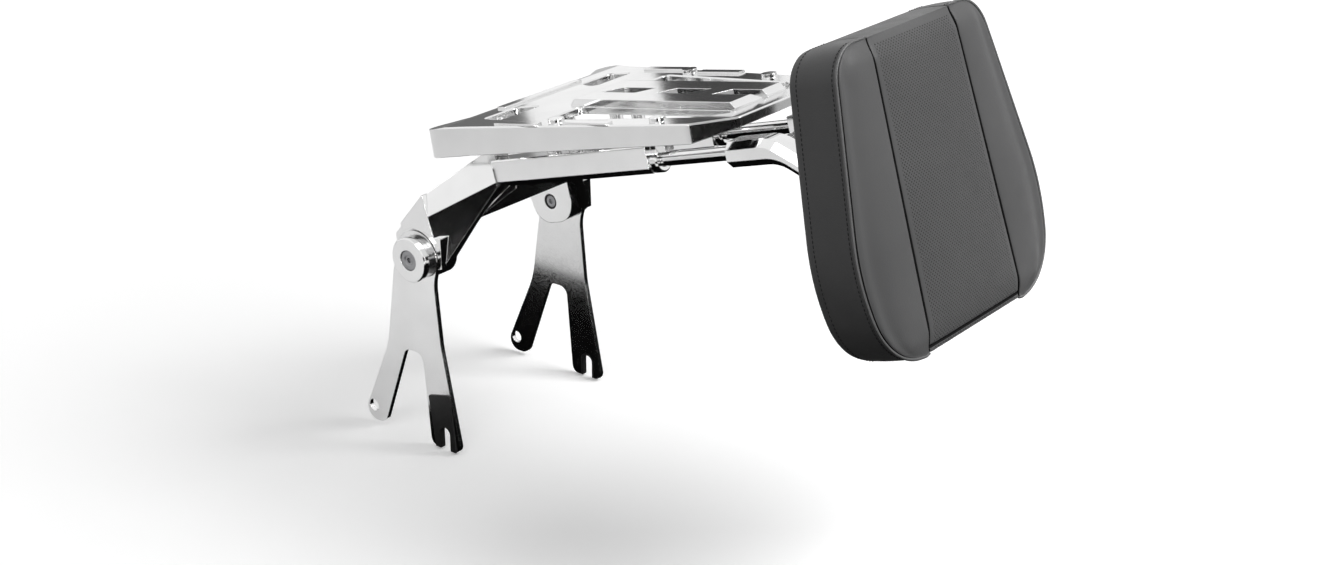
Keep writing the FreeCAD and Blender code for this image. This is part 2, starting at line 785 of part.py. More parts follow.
def build_yoke():
    """Two elbow sleeves on the rods, bent down behind the pad and joined by a web."""
    elbow = new_body("yoke_elbow")
    cos, sin = turned("elbow_drop")
    side = polygon(sketch_on(elbow, "XZ_Plane", "rail_y - rail_half"), [
        ("yoke_rear", "yoke_low"),
        ("yoke_bend_low", "yoke_low"),
        (f"tilt_u + eye_r * ({cos} - {sin})", f"tilt_w - eye_r * ({sin} + {cos})"),
        (f"tilt_u + eye_r * ({cos} + {sin})", f"tilt_w + eye_r * ({cos} - {sin})"),
        ("yoke_bend_high", "yoke_high"),
        ("yoke_rear", "yoke_high"),
    ])
    base = rounded_pad(elbow, side, "rail_half * 2", {"eye_r - 0.4": (2, 3), "yoke_bend_round": (1, 4)})
    outer = base.Shape.BoundBox.YMin

    def lower_outer(edge):
        flat = abs(edge.BoundBox.YMin - outer) < 0.01 and abs(edge.BoundBox.YMax - outer) < 0.01
        middle = edge.CenterOfMass
        drop = max(0.0, middle.x - sheet.get("yoke_bend_low"))
        line = sheet.get("rod_w") - drop * math.tan(math.radians(sheet.get("elbow_drop")))
        upright = edge.BoundBox.XLength < 0.01
        return flat and not upright and middle.z < line and middle.x < sheet.get("tilt_u") - sheet.get("eye_r")

    chamfer(elbow, base, edges_where(base, lower_outer), "yoke_bevel")
    pocket(elbow, circle(sketch_on(elbow, "YZ_Plane", "yoke_rear"), "-rail_y", "rod_w", "rod_r"),
           "rod_front - yoke_rear", back=True)
    pocket(elbow, circle(sketch_on(elbow, "XZ_Plane", "rail_y + rail_half"), "tilt_u", "tilt_w", "pin_r"),
           "rail_half * 2")
    for place in ("yoke_rear + grub_inset", "yoke_rear + grub_inset + grub_pitch"):
        pocket(elbow, circle(sketch_on(elbow, "XY_Plane", "yoke_low"), place, "-rail_y", "grub_r"),
               "rod_w - rod_r - yoke_low", back=True)
    twin = doc.addObject("Part::Mirroring", "yoke_elbow_twin")
    twin.Source = elbow
    twin.Normal = Vector(0, 1, 0)

    web = new_body("yoke_web")
    edge = "rail_y - rail_half + web_overlap"
    plan = polygon(sketch_on(web, "XY_Plane", "web_low"), [
        ("web_horn", f"-({edge})"),
        ("web_rear", "-rail_half"),
        ("web_rear", "rail_half"),
        ("web_horn", edge),
        ("web_front", edge),
        ("web_front", f"-({edge})"),
    ])
    rounded_pad(web, plan, "web_high - web_low", {"rail_half * 2": (1, 2)})
    yoke = joined("yoke", [elbow, twin, web])
    keep(seat_on_bar(yoke))

    pin = new_body("tilt_pin")
    side = circle(sketch_on(pin, "XZ_Plane", "pin_inset - rail_y - rail_half"), "0", "0", "pin_r")
    pad(pin, side, "(rail_y + rail_half - pin_inset) * 2")
    keep(seat_on_bar(pin, "tilt_u", "tilt_w"))

    grubs = []
    for side_name, y in (("right", "-rail_y"), ("left", "rail_y")):
        for index, u in enumerate(("yoke_rear + grub_inset", "yoke_rear + grub_inset + grub_pitch")):
            name = f"grub_{side_name}_{index}"
            body = cylinder(name + "_body", "grub_r", "rod_w - rod_r - yoke_low", u, y, "yoke_low")
            key = doc.addObject("Part::Prism", name + "_key")
            key.Polygon = 6
            bind(key, "Circumradius", "grub_r * 0.6")
            bind(key, "Height", "grub_r")
            bind(key, "Placement.Base.x", u)
            bind(key, "Placement.Base.y", y)
            bind(key, "Placement.Base.z", "yoke_low - 0.5")
            grubs.append(less(name, body, key))
    seat_on_bar(group("rod_grub_screws", grubs))


def pad_outline(inset):
    """Half-egg outline of the pad, drawn in by an inset, as points across and up."""
    half_top, half_wide = f"pad_top_half - {inset}", f"pad_wide_half - {inset}"
    half_low = f"pad_bottom_half - {inset}"
    top, low = f"pad_top - {inset}", f"-pad_bottom + {inset}"
    return [
        (f"-({half_top})", top),
        (f"-({half_wide})", "-pad_wide_drop"),
        (f"-({half_low})", low),
        (half_low, low),
        (half_wide, "-pad_wide_drop"),
        (half_top, top),
    ]


UPPER_LEAN = "atan((pad_wide_half - pad_top_half) / (pad_top + pad_wide_drop))"
LOWER_LEAN = "atan((pad_wide_half - pad_bottom_half) / (pad_bottom - pad_wide_drop))"
WIDE_ROUND = f"pad_wide_blend / tan(({UPPER_LEAN} + {LOWER_LEAN}) / 2)"
BOTTOM_ROUND = f"pad_bottom_blend * tan(45 deg + {LOWER_LEAN} / 2)"
PAD_ROUNDS = {"pad_top_round": (0, 5), WIDE_ROUND: (1, 4), BOTTOM_ROUND: (2, 3)}


def build_pad():
    """Bracket on the tilt pin, base board, and the cushion that wraps the board."""
    bracket = new_body("pad_bracket_plate")
    plate = polygon(sketch_on(bracket, "YZ_Plane", "pad_back - bracket_thick"), [
        ("-bracket_half", "-bracket_high"),
        ("bracket_half", "-bracket_high"),
        ("bracket_half", "bracket_high"),
        ("-bracket_half", "bracket_high"),
    ])
    rounded_pad(bracket, plate, "bracket_thick", {"bracket_round": (0, 1, 2, 3)})
    for shift in ("bracket_half - ear_thick", "-bracket_half"):
        ear = polygon(sketch_on(bracket, "XZ_Plane", shift), [
            ("-eye_r", "-eye_r"),
            ("pad_back", "-ear_foot"),
            ("pad_back", "ear_foot"),
            ("-eye_r", "eye_r"),
        ])
        rounded_pad(bracket, ear, "ear_thick", {"eye_r - 1.5": (0, 3)})
    pocket(bracket, circle(sketch_on(bracket, "XZ_Plane", "bracket_half"), "0", "0", "pin_r + run_gap"),
           "bracket_half * 2")
    holes = sketch_on(bracket, "YZ_Plane", "pad_back")
    spots = [(y, z) for y in ("-pad_screw_y", "pad_screw_y") for z in ("-pad_screw_z", "pad_screw_z")]
    for y, z in spots:
        circle(holes, y, z, "pad_screw_r")
    pocket(bracket, holes, "bracket_thick")
    bracket.Label = "pad_bracket"
    keep(seat_on_bar(bracket, "tilt_u", "tilt_w", "pad_lean"))

    board = new_body("pad_base")
    rounded_pad(board, polygon(sketch_on(board, "YZ_Plane", "pad_back"), pad_outline("base_inset")),
                "base_thick", PAD_ROUNDS)
    holes = sketch_on(board, "YZ_Plane", "pad_back")
    for y, z in spots:
        circle(holes, y, z, "pad_screw_r")
    pocket(board, holes, "base_thick", back=True)
    keep(seat_on_bar(board, "tilt_u", "tilt_w", "pad_lean"))

    foam = new_body("pad_foam")
    base = rounded_pad(foam, polygon(sketch_on(foam, "YZ_Plane", "pad_back"), pad_outline("0")),
                       "pad_thick", PAD_ROUNDS)
    front = edges_where(base, lambda edge: edge.BoundBox.XMin > base.Shape.BoundBox.XMax - 0.01)
    fillet(foam, base, front, "pad_crown")
    hollow = new_body("pad_hollow")
    rounded_pad(hollow, polygon(sketch_on(hollow, "YZ_Plane", "pad_back - 1"), pad_outline("(base_inset - base_gap)")),
                "base_thick + base_gap + 1", PAD_ROUNDS)
    keep(seat_on_bar(less("pad_cushion", foam, hollow), "tilt_u", "tilt_w", "pad_lean"))

    screws = []
    for index, (y, z) in enumerate(spots):
        head = cylinder(f"pad_screw_head_{index}", "pad_screw_head_r", "pad_screw_head",
                        "pad_back - bracket_thick - pad_screw_head", y, z, ALONG_X)
        stem = cylinder(f"pad_screw_stem_{index}", "pad_screw_r", "bracket_thick + base_thick",
                        "pad_back - bracket_thick", y, z, ALONG_X)
        screws.append(joined(f"pad_screw_{index}", [head, stem]))
    seat_on_bar(group("pad_screws", screws), "tilt_u", "tilt_w", "pad_lean")


def rack_edge(along, inset="0"):
    """Half width of the rack's tapered side at a place along it."""
    slope = "(rack_bend_half - rack_shoulder_half) / (rack_shoulder - rack_bend)"
    return f"(rack_bend_half - (({along}) - rack_bend) * {slope} - ({inset}))"


def build_rack():
    """Tapered deck with deepening side skirts, two large openings and a raised, slotted spine."""
    body = new_body("rack_frame")
    half = [
        ("-rack_rear", "rack_rear_half"),
        ("-rack_horn", "rack_horn_half"),
        ("rack_bend", "rack_bend_half"),
        ("rack_shoulder", "rack_shoulder_half"),
        ("rack_front", "rack_front_half"),
    ]
    outline = [(x, f"-({y})") for x, y in half] + half[::-1]
    plan = polygon(sketch_on(body, "XY_Plane", "-rack_skirt_rear"), outline)
    rounded_pad(body, plan, "rack_skirt_rear", {
        "rack_horn_round": (1, 8),
        "rack_rail / 2": (3, 6),
        "rack_nose": (4, 5),
    })
    wide = "rack_horn_half + 10"
    wedge = polygon(sketch_on(body, "XZ_Plane", f"-({wide})"), [
        ("-rack_horn - 5", "-rack_skirt_rear + rack_horn_toe + 5"),
        ("-rack_horn + rack_horn_toe", "-rack_skirt_rear"),
        ("rack_shoulder", "-rack_skirt_front"),
        ("rack_front + 5", "-rack_nose"),
        ("rack_front + 5", "-rack_skirt_rear - 10"),
        ("-rack_horn - 5", "-rack_skirt_rear - 10"),
    ])
    pocket(body, wedge, f"({wide}) * 2", back=True)
    inner = [
        ("-rack_rear + rack_wall", "rack_rear_half"),
        ("-rack_horn + rack_wall * 1.4", "rack_horn_half - rack_wall * 1.4"),
        ("rack_bend", "rack_bend_half - rack_wall"),
        ("rack_shoulder - rack_wall / 2", "rack_shoulder_half - rack_wall"),
        ("rack_front - rack_wall", "rack_front_half - rack_wall / 2"),
    ]
    hollow = polygon(sketch_on(body, "XY_Plane", "-rack_deck"), [(x, f"-({y})") for x, y in inner] + inner[::-1])
    pocket(body, hollow, "rack_skirt_rear", back=False)

    through = "rack_deck + 1"
    last = "rack_front - rack_nose_bar"
    for sign in ("-", ""):
        side = polygon(sketch_on(body, "XY_Plane"), [
            ("rack_cross", f"{sign}(rack_spine)"),
            (last, f"{sign}(rack_spine)"),
            (last, f"{sign}(rack_front_half - rack_rail / 2)"),
            ("rack_shoulder - rack_rail / 3", f"{sign}{rack_edge('rack_shoulder', 'rack_rail')}"),
            ("rack_cross", f"{sign}{rack_edge('rack_cross', 'rack_rail')}"),
        ])
        rounded_pocket(body, side, through, "rack_hole_round")
        start = "-rack_rear + rack_rear_bar"
        slot = polygon(sketch_on(body, "XY_Plane"), [
            (start, f"{sign}(rack_spine + rack_slot_slant)"),
            (f"{start} + rack_rear_slot", f"{sign}(rack_spine)"),
            (f"{start} + rack_rear_slot", f"{sign}{rack_edge('rack_rear_slot', 'rack_rail')}"),
            (start, f"{sign}{rack_edge('0', 'rack_rail * 1.3')}"),
        ])
        deck = rounded_pocket(body, slot, through, "rack_hole_round")
    beyond = float(sheet.get("rack_spine")) + 1
    rims = edges_where(deck, lambda edge: all(abs(v.Z) < 1e-6 for v in edge.Vertexes)
                       and abs(edge.CenterOfMass.y) > beyond)
    chamfer(body, deck, rims, "rack_break")
    spine = polygon(sketch_on(body, "XY_Plane"), [
        ("rack_cross - rack_crown_lead", "-rack_spine"),
        (last, "-rack_spine"),
        (last, "rack_spine"),
        ("rack_cross - rack_crown_lead", "rack_spine"),
    ])
    crown = pad(body, spine, "rack_crown")
    ends = edges_where(crown, lambda edge: all(v.Z > 1 for v in edge.Vertexes)
                       and abs(edge.Curve.Direction.y) > 0.99)
    chamfer(body, crown, ends, "rack_crown - rack_break")
    for index in range(int(sheet.get("rack_slot_count"))):
        start = f"rack_slot_start + rack_slot_pitch * {index}"
        slot = polygon(sketch_on(body, "XY_Plane", "rack_crown"), [
            (start, "-rack_slot_half"),
            (f"{start} + rack_slot_long - rack_slot_slant", "-rack_slot_half"),
            (f"{start} + rack_slot_long", "rack_slot_half"),
            (f"{start} + rack_slot_slant", "rack_slot_half"),
        ])
        pocket(body, slot, f"{through} + rack_crown")
    lip = polygon(sketch_on(body, "XZ_Plane", f"-({wide})"), [
        ("-rack_lip", "0"),
        ("-rack_horn", "-rack_lip_drop"),
        ("-rack_horn - 5", "-rack_lip_drop"),
        ("-rack_horn - 5", "1"),
        ("-rack_lip", "1"),
    ])
    pocket(body, lip, f"({wide}) * 2", back=True)
    seat = dict(u="rack_u", w="rack_w", lean="-rack_drop")
    keep(seat_on_bar(body, **seat))

    strips, bumpers = [], []
    middle = "rack_rail / 2"
    for name, sign in (("right", "-"), ("left", "")):
        for index in range(2):
            start = f"strip_start + strip_pitch * {index}"
            centre = f"{start} + strip_long / 2"
            strips.append(box(f"rack_strip_{name}_{index}", ("strip_long", "strip_half * 2", "strip_thick"),
                              start, f"{sign}{rack_edge(centre, 'strip_edge')} - strip_half", "0"))
        for place in ("bumper_rear", "bumper_front"):
            bumpers.append(cylinder(f"rack_{place}_{name}", "bumper_r", "bumper_high",
                                    place, f"{sign}{rack_edge(place, middle)}", "0"))
    strips.append(box("rack_strip_rear", ("strip_half * 2", "strip_rear_half * 2", "strip_thick"),
                      "-rack_rear + strip_edge", "-strip_rear_half", "0"))
    seat_on_bar(group("rack_strips", strips), **seat)
    seat_on_bar(group("rack_bumpers", bumpers), **seat)


def build_rack_posts():
    """Posts that stand on the housings and carry the rack's cross bar."""
    posts = []
    slope = "tan(rack_drop * 1 deg)"
    for side_name, y in (("right", "-rail_y"), ("left", "rail_y")):
        for place in ("post_rear", "post_front"):
            u = f"rack_u + {place}"
            deck = f"rack_w - rack_deck / cos(rack_drop * 1 deg) - {place} * {slope}"
            name = f"rack_{place}_{side_name}"
            posts.append(cylinder(name, "post_r", f"{deck} - post_r * {slope} - rail_high", u, y, "rail_high"))
    seat_on_bar(group("rack_posts", posts))


build_docking_plate()
build_dock_shoe()
build_pivot()
build_arm()
build_cross_panel()
build_housing()
build_collar()
build_rod()
build_yoke()
build_pad()
build_rack()
build_rack_posts()
doc.recompute()

for thing in doc.Objects:
    if "Invalid" in thing.State or "Error" in thing.State:
        raise RuntimeError(f"{thing.Label} failed: {thing.State}")
for node in NODES:
    if node.Shape.isNull() or not node.Shape.isValid():
        raise RuntimeError(f"{node.Label} has no valid shape")

os.makedirs("parts", exist_ok=True)
for node in NODES:
    node.Shape.exportStep(f"parts/{node.Label}.step")
    print(f"{node.Label}: {len(node.Shape.Solids)} solid(s), {node.Shape.Volume / 1000:.1f} cm3")
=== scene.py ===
import json
import math

import bmesh
import bpy
from mathutils import Matrix, Vector
from mathutils.bvhtree import BVHTree


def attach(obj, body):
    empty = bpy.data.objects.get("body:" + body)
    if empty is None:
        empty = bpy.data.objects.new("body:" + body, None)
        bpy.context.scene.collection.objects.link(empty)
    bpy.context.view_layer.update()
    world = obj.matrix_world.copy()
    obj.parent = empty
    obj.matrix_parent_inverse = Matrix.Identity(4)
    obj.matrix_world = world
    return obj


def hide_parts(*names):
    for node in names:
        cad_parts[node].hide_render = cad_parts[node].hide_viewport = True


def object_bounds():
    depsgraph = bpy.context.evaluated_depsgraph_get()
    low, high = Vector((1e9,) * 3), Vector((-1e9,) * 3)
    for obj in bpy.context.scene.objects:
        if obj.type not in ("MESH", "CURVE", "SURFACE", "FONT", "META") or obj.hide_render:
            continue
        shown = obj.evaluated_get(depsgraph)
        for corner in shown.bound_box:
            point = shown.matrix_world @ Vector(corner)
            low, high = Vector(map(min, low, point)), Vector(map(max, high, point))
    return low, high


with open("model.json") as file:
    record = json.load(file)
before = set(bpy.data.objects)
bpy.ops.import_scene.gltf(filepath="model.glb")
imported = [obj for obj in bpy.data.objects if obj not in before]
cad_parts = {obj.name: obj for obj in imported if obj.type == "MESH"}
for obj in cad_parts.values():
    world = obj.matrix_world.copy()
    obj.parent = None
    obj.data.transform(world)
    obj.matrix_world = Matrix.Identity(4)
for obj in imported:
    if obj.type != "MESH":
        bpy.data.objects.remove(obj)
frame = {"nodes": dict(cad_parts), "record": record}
cad_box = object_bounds()
MM = 0.001

# Pad frame: x along the normal of the pad's face, y to the left, z up along the pad
TILT_AXIS = Vector((0.65192, 0.0, 0.41577))
PAD_LEAN = math.radians(18.1)
PAD_FRAME = Matrix.Translation(TILT_AXIS) @ Matrix.Rotation(-PAD_LEAN, 4, "Y")

# Pad face in mm: its top and bottom, and the half width of the centre panel at both ends
TOP = 156.0
LOW = -166.0
PANEL_TOP = 77.0
PANEL_LOW = 91.0
PANEL_SLOPE = (PANEL_TOP - PANEL_LOW) / (TOP - LOW)

# Round that the edges of plated parts show, in m
EDGE_ROUND = 0.0013


# Materials

def new_material(name):
    material = bpy.data.materials.new(name)
    material.use_nodes = True
    tree = material.node_tree
    return material, tree, tree.nodes["Principled BSDF"]


def node(tree, kind, **settings):
    item = tree.nodes.new(kind)
    for key, value in settings.items():
        if key in item.inputs:
            item.inputs[key].default_value = value
        else:
            setattr(item, key, value)
    return item


def noise(tree, source, scale, detail=3.0):
    item = node(tree, "ShaderNodeTexNoise", Scale=scale, Detail=detail)
    tree.links.new(source, item.inputs["Vector"])
    return item.outputs["Fac"]


def spread(tree, value, low, high, start=0.3, end=0.7):
    """Value carried from the range start to end into the range low to high."""
    item = node(tree, "ShaderNodeMapRange")
    for key, number in (("From Min", start), ("From Max", end), ("To Min", low), ("To Max", high)):
        item.inputs[key].default_value = number
    tree.links.new(value, item.inputs["Value"])
    return item.outputs["Result"]


def tint(tree, value, low, high):
    item = node(tree, "ShaderNodeValToRGB")
    item.color_ramp.elements[0].position = 0.3
    item.color_ramp.elements[1].position = 0.7
    item.color_ramp.elements[0].color = (*low, 1)
    item.color_ramp.elements[1].color = (*high, 1)
    tree.links.new(value, item.inputs["Fac"])
    return item.outputs["Color"]


def bump(tree, height, strength, distance, under=None):
    item = node(tree, "ShaderNodeBump", Strength=strength, Distance=distance)
    tree.links.new(height, item.inputs["Height"])
    if under:
        tree.links.new(under, item.inputs["Normal"])
    return item.outputs["Normal"]


def object_place(tree):
    return node(tree, "ShaderNodeTexCoord").outputs["Object"]


def grey(level):
    return (level, level, level)


def chrome(name, level, rough, wave):
    """Plated metal: cloudy roughness, faint tone changes, rounded edges and slightly wavy reflections."""
    material, tree, shader = new_material(name)
    place = object_place(tree)
    cloud = noise(tree, place, 22.0)
    fine = noise(tree, place, 420.0, 4.0)
    shader.inputs["Metallic"].default_value = 1.0
    tree.links.new(tint(tree, cloud, grey(level - 0.035), grey(level + 0.02)), shader.inputs["Base Color"])
    tree.links.new(spread(tree, fine, rough * 0.7, rough * 1.3), shader.inputs["Roughness"])
    edge = node(tree, "ShaderNodeBevel", samples=4, Radius=EDGE_ROUND).outputs["Normal"]
    tree.links.new(bump(tree, noise(tree, place, 34.0, 1.0), wave, 0.002, edge), shader.inputs["Normal"])
    return material


def plain(name, low, high, rough, grain, deep, metal=0.0, shine=0.5):
    """Moulded, painted, machined or spun surface with fine grain."""
    material, tree, shader = new_material(name)
    place = object_place(tree)
    shader.inputs["Metallic"].default_value = metal
    shader.inputs["Specular IOR Level"].default_value = shine
    colour = tint(tree, noise(tree, place, 60.0), low, high)
    gloss = spread(tree, noise(tree, place, grain * 0.4), rough - 0.06, rough + 0.06)
    tree.links.new(colour, shader.inputs["Base Color"])
    tree.links.new(gloss, shader.inputs["Roughness"])
    tree.links.new(bump(tree, noise(tree, place, grain), 0.3, deep), shader.inputs["Normal"])
    return material


def punched_holes(tree, place):
    """Mask of staggered round holes, kept clear of the panel's seams, its top edge and its sides."""
    links = tree.links
    turn = (math.radians(45), 0.0, 0.0)
    lattice = node(tree, "ShaderNodeMapping", Rotation=turn, Scale=(0.0, 294.0, 294.0))
    links.new(place, lattice.inputs["Vector"])
    cell = node(tree, "ShaderNodeVectorMath", operation="FRACTION")
    links.new(lattice.outputs["Vector"], cell.inputs[0])
    centred = node(tree, "ShaderNodeVectorMath", operation="SUBTRACT")
    centred.inputs[1].default_value = (0.0, 0.5, 0.5)
    links.new(cell.outputs["Vector"], centred.inputs[0])
    reach = node(tree, "ShaderNodeVectorMath", operation="LENGTH")
    links.new(centred.outputs["Vector"], reach.inputs[0])
    hole = spread(tree, reach.outputs["Value"], 1.0, 0.0, 0.20, 0.31)
    parts = node(tree, "ShaderNodeSeparateXYZ")
    links.new(place, parts.inputs["Vector"])
    side = node(tree, "ShaderNodeMath", operation="ABSOLUTE")
    links.new(parts.outputs["Y"], side.inputs[0])
    lean = node(tree, "ShaderNodeMath", operation="MULTIPLY_ADD")
    lean.inputs[1].default_value = -PANEL_SLOPE
    links.new(parts.outputs["Z"], lean.inputs[0])
    links.new(side.outputs["Value"], lean.inputs[2])
    edge = (PANEL_LOW - PANEL_SLOPE * LOW) * MM
    inside = spread(tree, lean.outputs["Value"], 1.0, 0.0, edge - 0.0085, edge - 0.0075)
    below = spread(tree, parts.outputs["Z"], 1.0, 0.0, 0.147, 0.148)
    front = spread(tree, parts.outputs["X"], 0.0, 1.0, 0.070, 0.071)
    for limit in (inside, below, front):
        both = node(tree, "ShaderNodeMath", operation="MULTIPLY")
        links.new(hole, both.inputs[0])
        links.new(limit, both.inputs[1])
        hole = both.outputs["Value"]
    return hole


def vinyl(name, perforated=False, shine=0.22):
    """Grained black upholstery vinyl; the centre panel has staggered punched holes."""
    material, tree, shader = new_material(name)
    place = object_place(tree)
    links = tree.links
    colour = tint(tree, noise(tree, place, 9.0), (0.074, 0.074, 0.075), (0.088, 0.088, 0.089))
    grain = node(tree, "ShaderNodeTexVoronoi", Scale=900.0, feature="F1")
    links.new(place, grain.inputs["Vector"])
    normal = bump(tree, grain.outputs["Distance"], 0.28, 0.0004)
    normal = bump(tree, noise(tree, place, 38.0, 3.0), 0.16, 0.0015, normal)
    rough = spread(tree, noise(tree, place, 55.0), 0.38, 0.48)
    if perforated:
        hole = punched_holes(tree, place)
        # The holes are not cut into the mesh: their near-black colour is painted shade inside them, and the
        # bump sinks them
        mix = node(tree, "ShaderNodeMix", data_type="RGBA")
        links.new(hole, mix.inputs["Factor"])
        links.new(colour, mix.inputs["A"])
        mix.inputs["B"].default_value = (0.008, 0.008, 0.008, 1.0)
        colour = mix.outputs["Result"]
        flip = node(tree, "ShaderNodeMath", operation="SUBTRACT")
        flip.inputs[0].default_value = 1.0
        links.new(hole, flip.inputs[1])
        normal = bump(tree, flip.outputs["Value"], 0.7, 0.0009, normal)
    links.new(colour, shader.inputs["Base Color"])
    links.new(rough, shader.inputs["Roughness"])
    links.new(normal, shader.inputs["Normal"])
    shader.inputs["Specular IOR Level"].default_value = shine
    shader.inputs["Sheen Weight"].default_value = 0.04
    shader.inputs["Sheen Roughness"].default_value = 0.5
    return material


LOOKS = {
    "plate_chrome": chrome("plate_chrome", 0.83, 0.14, 0.010),
    "cast_chrome": chrome("cast_chrome", 0.83, 0.085, 0.010),
    "rod_chrome": chrome("rod_chrome", 0.85, 0.05, 0.008),
    "rack_chrome": chrome("rack_chrome", 0.83, 0.10, 0.020),
    "screw_steel": plain("screw_steel", (0.30, 0.30, 0.31), (0.36, 0.36, 0.37), 0.36, 1400.0, 0.0001, 1.0),
    "nylon": plain("nylon", grey(0.010), grey(0.018), 0.48, 900.0, 0.0002),
    "black_steel": plain("black_steel", grey(0.016), grey(0.026), 0.40, 700.0, 0.0002),
    "base_board": plain("base_board", grey(0.020), grey(0.032), 0.62, 500.0, 0.0004),
    "thread": plain("thread", grey(0.012), grey(0.022), 0.70, 2600.0, 0.0002, shine=0.1),
    # Near-black vinyl laid on the faces along the panel seams, the fold and the welt: painted shade in
    # those creases
    "cover_painted_crease_shade": plain("cover_painted_crease_shade", grey(0.006), grey(0.011), 0.65, 1500.0, 0.0002, shine=0.03),
    "cover": vinyl("cover"),
    "cover_perforated": vinyl("cover_perforated", perforated=True),
    "cover_welt": vinyl("cover_welt", shine=0.55),
}
for part in frame["record"]["subparts"]:
    shape = frame["nodes"][part["node"]]
    shape.data.materials.clear()
    shape.data.materials.append(LOOKS[part["material_slot"]])


# Pad outline in mm: corners with their rounds, right half listed from the top down

CORNERS = [((133.0, TOP), 42.0), ((178.0, -62.0), 200.0), ((157.0, LOW), 74.0)]
ARC_STEPS = 24


def rounded_half():
    chain = [Vector((0.0, TOP))] + [Vector(corner) for corner, _ in CORNERS] + [Vector((0.0, LOW))]
    points = [chain[0]]
    for i, (_, radius) in enumerate(CORNERS, start=1):
        here = chain[i]
        back = (chain[i - 1] - here).normalized()
        ahead = (chain[i + 1] - here).normalized()
        half = back.angle(ahead) / 2
        reach = radius / math.tan(half)
        centre = here + (back + ahead).normalized() * radius / math.sin(half)
        first = here + back * reach - centre
        last = here + ahead * reach - centre
        sweep = first.angle(last)
        for k in range(ARC_STEPS + 1):
            f = k / ARC_STEPS
            arm = (first * math.sin((1 - f) * sweep) + last * math.sin(f * sweep)) / math.sin(sweep)
            points.append(centre + arm)
    points.append(chain[-1])
    return points


HALF = rounded_half()


def half_width(z):
    """Half width of the pad's face at a height, in mm."""
    side = HALF[1:-1]
    if z >= side[0].y:
        return side[0].x
    for a, b in zip(side, side[1:]):
        if a.y >= z >= b.y and a.y > b.y:
            return a.x + (b.x - a.x) * (a.y - z) / (a.y - b.y)
    return side[-1].x


def panel_half(z):
    """Half width of the perforated centre panel at a height, in mm."""
    return PANEL_LOW + (PANEL_TOP - PANEL_LOW) * (z - LOW) / (TOP - LOW)


# Cover grid: rows from the top down, columns across the two bolsters and the centre panel

ROWS = 72
PANEL_STEPS = (0.0, 0.14, 0.28, 0.42, 0.55, 0.67, 0.78, 0.87, 0.935, 0.982, 1.0)
BOLSTER_STEPS = (0.018, 0.065, 0.14, 0.24, 0.35, 0.47, 0.59, 0.70, 0.80, 0.88, 0.94, 0.968, 1.0)
COLUMNS = [(-1, "b", b) for b in reversed(BOLSTER_STEPS)]
COLUMNS += [(-1, "p", p) for p in reversed(PANEL_STEPS[1:])]
COLUMNS += [(1, "p", p) for p in PANEL_STEPS]
COLUMNS += [(1, "b", b) for b in BOLSTER_STEPS]
SEAMS = [i for i, (_, kind, t) in enumerate(COLUMNS) if kind == "p" and t == 1.0]
FOLD = ROWS - 6
SIDE_LOOK = 0
PANEL_LOOK = 1
# Material index of the painted crease shade
PAINTED_SHADE_LOOK = 2

# Height of the welt's edge and rise of the face inside it, in mm
EDGE_X = 75.0
FACE_RISE = 5.0
PANEL_CROWN = 1.5

# Boxing rings from the welt to the back: height and outward push, in mm
BOXING = [(73.4, 0.5), (66.0, 1.2), (57.0, 1.6), (47.0, 1.8), (37.0, 1.6), (28.0, 1.1), (20.5, 0.4),
          (16.2, -0.6), (14.6, -2.6), (14.6, -8.6), (22.6, -8.6)]
HELD_FROM = 7

# Depth of the sewn creases and of the rim under the welt, and height of the foam roll, in mm
CREASE = 2.8
RIM_SINK = 1.6
ROLL = {0.94: 1.3, 0.88: 0.2, 0.80: -2.0, 0.70: -0.8}
ROLL_FADE = 40.0

# Filling of the cover: pressure, stiffness, steps and the furthest that a point moves, in m
PRESSURE = 4.0
STIFFNESS = 2.0
FILL_STEPS = 20
FILL_LIMIT = 0.0055


def smooth(t):
    t = min(1.0, max(0.0, t))
    return t * t * (3 - 2 * t)


def face_height(column, z):
    """Height of the pad's face in front of the welt before it is filled, in mm."""
    _, kind, t = COLUMNS[column]
    ends = min(TOP - z, z - LOW)
    if kind == "p":
        crown = PANEL_CROWN * (1 - t * t) * smooth(ends / 60.0)
        return EDGE_X + FACE_RISE * smooth(ends / 26.0) + crown
    across = (1 - t) * max(half_width(z) - panel_half(z), 1.0)
    return EDGE_X + FACE_RISE * smooth(min(across, ends) / 22.0)


def face_grid(mesh):
    """Face of the cover in rows and columns that follow the panel seams and the welt."""
    middle = (TOP + LOW) / 2
    reach = (TOP - LOW) / 2
    heights = [middle - reach * math.sin(math.pi * (j / ROWS - 0.5)) for j in range(ROWS + 1)]
    grid = []
    for z in heights:
        inner = panel_half(z)
        outer = half_width(z)
        row = []
        for i, (side, kind, t) in enumerate(COLUMNS):
            y = side * (inner * t if kind == "p" else inner + (outer - inner) * t)
            row.append(mesh.verts.new(Vector((face_height(i, z), y, z)) * MM))
        grid.append(row)
    width = len(COLUMNS)
    for j in range(ROWS):
        for i in range(width - 1):
            face = mesh.faces.new((grid[j][i], grid[j + 1][i], grid[j + 1][i + 1], grid[j][i + 1]))
            in_panel = SEAMS[0] <= i < SEAMS[1]
            beside_seam = i in (SEAMS[0] - 1, SEAMS[0], SEAMS[1] - 1, SEAMS[1])
            at_fold = in_panel and j in (FOLD - 1, FOLD)
            # Faces beside the panel seams, at the fold and next to the welt take the painted crease shade
            if beside_seam or at_fold or i in (0, width - 2):
                face.material_index = PAINTED_SHADE_LOOK
            else:
                face.material_index = PANEL_LOOK if in_panel else SIDE_LOOK
    return grid


def rim_order():
    """Grid places round the edge of the face."""
    last = len(COLUMNS) - 1
    rim = [(0, i) for i in range(last + 1)]
    rim += [(j, last) for j in range(1, ROWS)]
    rim += [(ROWS, i) for i in range(last, -1, -1)]
    rim += [(j, 0) for j in range(ROWS - 1, 0, -1)]
    return rim


